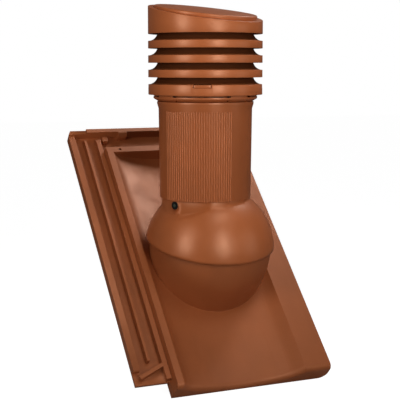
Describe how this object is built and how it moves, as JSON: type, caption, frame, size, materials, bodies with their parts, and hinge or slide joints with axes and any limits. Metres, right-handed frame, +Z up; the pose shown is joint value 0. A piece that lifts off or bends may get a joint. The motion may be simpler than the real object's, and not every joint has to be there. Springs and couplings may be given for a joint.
{
  "type": "roof tile vent",
  "caption": "Interlocking roof tile with a moulded bowl, a hood that tilts on it, a ribbed double-walled vent pipe and a louvred cap with a slanted lid.",
  "frame": {"origin": "on the vent pipe's axis, at the centre of the bowl and of the pivot", "axes": "+Z up along the upright pipe, +Y level and up the roof slope, +X across the tile to the cover side"},
  "size_m": [0.27, 0.3401, 0.5062],
  "materials": {
    "tile_plastic": "satin terracotta",
    "hood_plastic": "satin terracotta",
    "pipe_plastic": "satin terracotta",
    "cap_plastic": "satin terracotta",
    "inner_plastic": "moulded grey",
    "foam": "fine foam",
    "seal_rubber": "matt black",
    "screw_black": "blackened",
    "screw_steel": "plain"
  },
  "bodies": {
    "roof": {"base_tile": "tile_plastic", "pivot_cap_left": "inner_plastic", "pivot_cap_right": "inner_plastic", "pivot_screws_left": "screw_steel", "pivot_screws_right": "screw_steel"},
    "pivot": {"pivot_ring": "inner_plastic"},
    "head": {"inner_duct": "inner_plastic", "duct_lock_ring": "inner_plastic", "hood": "hood_plastic", "centre_ring": "inner_plastic", "lock_screw": "screw_black", "collar_seal": "seal_rubber", "outer_pipe": "pipe_plastic", "insulation_sleeve": "foam", "duct_spacer": "inner_plastic"},
    "cap": {"snap_collar": "cap_plastic", "base_ring": "cap_plastic", "louvre_ring_lower": "cap_plastic", "louvre_ring_middle": "cap_plastic", "louvre_ring_upper": "cap_plastic", "crown": "cap_plastic", "cap_lid": "cap_plastic"}
  },
  "joints": [
    {"name": "pitch_tilt", "type": "hinge", "parent": "roof", "child": "pivot", "pos_m": [0, 0, 0], "axis": [1, 0, 0], "range_deg": [-2.1, 17.9]},
    {"name": "head_turn", "type": "hinge", "parent": "pivot", "child": "head", "pos_m": [0, 0, 0], "axis": [0, 0, 1], "range_deg": [-9, 3]},
    {"name": "cap_turn", "type": "hinge", "parent": "head", "child": "cap", "pos_m": [0, 0, 0.2], "axis": [0, 0, 1], "continuous": true}
  ]
}
